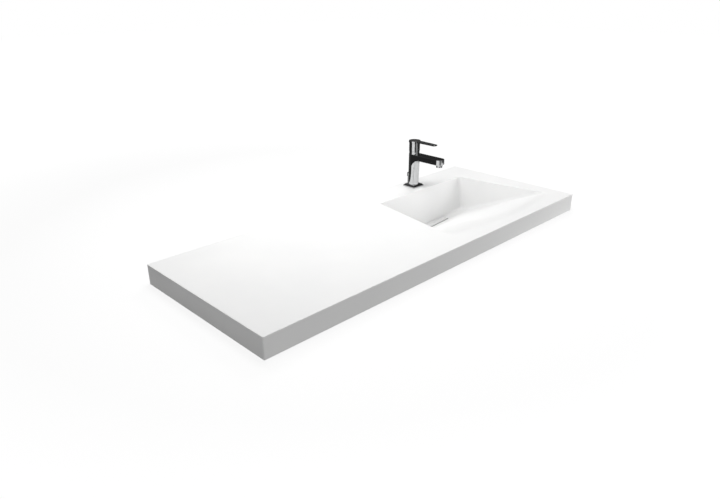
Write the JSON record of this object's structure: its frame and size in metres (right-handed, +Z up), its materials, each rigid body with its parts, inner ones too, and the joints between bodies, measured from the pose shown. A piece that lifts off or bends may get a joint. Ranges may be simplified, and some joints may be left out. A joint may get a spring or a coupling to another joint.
{
  "type": "inset basin",
  "caption": "Long vanity top with deep straight edges, a wedge-shaped ramp basin with a hidden slot drain, and a single-lever mixer with a pop-up rod.",
  "frame": {"origin": "mid-length on the underside of the rear apron, in the middle of its thickness", "axes": "+X along the top towards the basin end, +Y to the wall, +Z up; the underside rests at z = 0"},
  "size_m": [1.3, 0.5, 0.4804],
  "materials": {
    "solid_surface": "cast mineral composite, satin white",
    "chrome": "polished chrome plate",
    "steel": "plain stainless steel",
    "brass": "plain turned brass",
    "rubber": "matt black rubber",
    "grey_plastic": "moulded grey plastic",
    "dark_plastic": "moulded dark plastic",
    "wood": "planed softwood battens"
  },
  "bodies": {
    "top": {"worktop_panel": "solid_surface", "front_apron": "solid_surface", "rear_apron": "solid_surface", "left_apron": "solid_surface", "right_apron": "solid_surface", "basin_bowl": "solid_surface", "front_rail": "wood", "rear_rail": "wood", "cross_rails": "wood", "threaded_inserts": "brass", "drain_box": "grey_plastic", "drain_box_seal": "rubber", "drain_box_screws": "steel", "waste_body": "brass", "waste_upper_seal": "rubber", "waste_lower_seal": "rubber", "waste_nut": "brass", "tailpiece": "chrome", "tailpiece_seal": "rubber", "tailpiece_nut": "chrome", "ball_socket_nut": "chrome", "ball_seal": "rubber", "tap_plate": "chrome", "tap_plate_gasket": "rubber", "tap_body": "chrome", "aerator_housing": "chrome", "aerator_insert": "dark_plastic", "cartridge": "grey_plastic", "cartridge_nut": "brass", "fixing_stud": "steel", "fixing_washer": "rubber", "fixing_horseshoe": "steel", "fixing_nut": "brass"},
    "slot_strip": {"slot_cover": "solid_surface", "slot_cover_feet": "rubber"},
    "plug": {"popup_plug": "chrome", "plug_seal": "rubber"},
    "pivot": {"pivot_rod": "steel", "clevis_clip": "steel"},
    "rod": {"lift_rod": "chrome", "lift_knob": "chrome", "clevis_strap": "steel", "clevis_screw": "steel"},
    "handle": {"handle_collar": "chrome", "collar_screw": "steel", "cartridge_rotor": "brass", "lever_pin": "steel"},
    "lever_arm": {"lever": "chrome"},
    "spindle": {"valve_spindle": "steel"}
  },
  "joints": [
    {"name": "lift_rod_slide", "type": "slide", "parent": "top", "child": "rod", "axis": [0, 0, 1], "range_m": [0, 0.022]},
    {"name": "pivot_tilt", "type": "hinge", "parent": "top", "child": "pivot", "pos_m": [0.339, -0.09837, -0.16], "axis": [1, 0, 0], "range_deg": [0, 16.78]},
    {"name": "plug_slide", "type": "slide", "parent": "top", "child": "plug", "axis": [0, 0, 1], "range_m": [-0.00767, 0]},
    {"name": "handle_turn", "type": "hinge", "parent": "top", "child": "handle", "pos_m": [0.339, -0.045, 0.2], "axis": [0, 0, 1], "range_deg": [-45, 45]},
    {"name": "lever_tilt", "type": "hinge", "parent": "handle", "child": "lever_arm", "pos_m": [0.339, -0.031, 0.2101], "axis": [-1, 0, 0], "range_deg": [0, 20]},
    {"name": "spindle_slide", "type": "slide", "parent": "handle", "child": "spindle", "axis": [0, 0, 1], "range_m": [0, 0.0051]},
    {"name": "slot_cover_lift", "type": "slide", "parent": "top", "child": "slot_strip", "axis": [0, 0, 1], "range_m": [0, 0.15]}
  ],
  "couplings": [
    {"joint": "pivot_tilt", "follows": "lift_rod_slide", "rad_per_m": 13.305},
    {"joint": "plug_slide", "follows": "lift_rod_slide", "ratio": -0.34843},
    {"joint": "spindle_slide", "follows": "lever_tilt", "m_per_rad": 0.014598}
  ]
}
